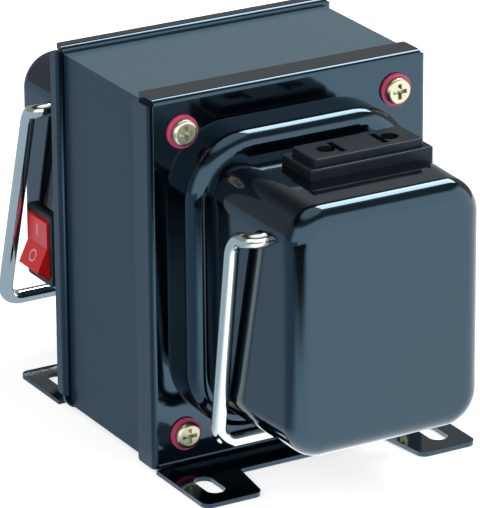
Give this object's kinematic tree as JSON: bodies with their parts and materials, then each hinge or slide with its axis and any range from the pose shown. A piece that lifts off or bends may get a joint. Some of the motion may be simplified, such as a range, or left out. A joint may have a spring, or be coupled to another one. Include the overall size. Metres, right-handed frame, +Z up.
{
  "type": "mains voltage transformer",
  "caption": "Small open-foot mains transformer: laminated core between stepped steel bells, with a two-pin outlet, a rocker switch, a fuse holder and swinging wire bails.",
  "frame": {"origin": "on the plane the feet stand on, under the middle of the whole object's length and width", "axes": "+Z up; the front bell with the outlet looks towards -Y; +X is its right seen from the front"},
  "size_m": [0.084, 0.1554, 0.1034],
  "materials": {
    "bell_enamel": "gloss black stoving enamel on drawn sheet steel",
    "core_varnish": "satin black varnish on ground lamination edges",
    "former_board": "pale pressboard",
    "winding_wire": "enamelled copper wire",
    "coil_tape": "yellow polyester tape",
    "tag_paxolin": "brown laminated paper board",
    "tinned_brass": "tin plated",
    "yellow_zinc": "yellow passivated zinc plate",
    "red_fibre": "red vulcanised fibre",
    "outlet_moulding": "satin black phenolic moulding",
    "contact_brass": "bare spring brass",
    "bail_chrome": "bright plated steel wire",
    "clip_steel": "spring steel",
    "switch_moulding": "black nylon moulding",
    "rocker_red": "red polycarbonate moulding",
    "holder_moulding": "black phenolic moulding",
    "fuse_glass": "clear glass tube",
    "ferrule_nickel": "nickel plated brass",
    "grommet_rubber": "black rubber"
  },
  "bodies": {
    "transformer": {"front_bell": "bell_enamel", "rear_bell": "bell_enamel", "e_laminations": "core_varnish", "i_laminations": "core_varnish", "coil_former": "former_board", "primary_winding": "winding_wire", "layer_insulation": "coil_tape", "secondary_winding": "winding_wire", "coil_wrap": "coil_tape", "tag_board": "tag_paxolin", "solder_tags": "tinned_brass", "core_screws": "yellow_zinc", "core_nuts": "yellow_zinc", "lock_washers": "yellow_zinc", "fibre_washers": "red_fibre", "bolt_sleeves": "former_board", "outlet_body": "outlet_moulding", "outlet_contacts": "contact_brass", "switch_housing": "switch_moulding", "switch_terminals": "tinned_brass", "fuse_holder": "holder_moulding", "fuse_holder_nut": "holder_moulding", "fuse_glass": "fuse_glass", "fuse_ferrules": "ferrule_nickel", "fuse_tabs": "tinned_brass", "cord_grommet": "grommet_rubber"},
    "front_handle": {"front_bail": "bail_chrome", "front_bail_clips": "clip_steel"},
    "rear_handle": {"rear_bail": "bail_chrome", "rear_bail_clips": "clip_steel"},
    "rocker": {"switch_rocker": "rocker_red"},
    "fuse_plug": {"fuse_cap": "holder_moulding"}
  },
  "joints": [
    {"name": "front_bail_swing", "type": "hinge", "parent": "transformer", "child": "front_handle", "pos_m": [0, -0.0642, 0.075], "axis": [1, 0, 0], "range_deg": [-245, 3.5]},
    {"name": "rear_bail_swing", "type": "hinge", "parent": "transformer", "child": "rear_handle", "pos_m": [0, 0.0522, 0.075], "axis": [1, 0, 0], "range_deg": [-1, 195]},
    {"name": "rocker_rock", "type": "hinge", "parent": "transformer", "child": "rocker", "pos_m": [-0.0275, 0.0581, 0.0338], "axis": [0, 1, 0], "range_deg": [-25, 0]},
    {"name": "fuse_cap_turn", "type": "hinge", "parent": "transformer", "child": "fuse_plug", "pos_m": [0.0125, 0.0745, 0.044], "axis": [0, 1, 0], "range_deg": [0, 90]}
  ]
}
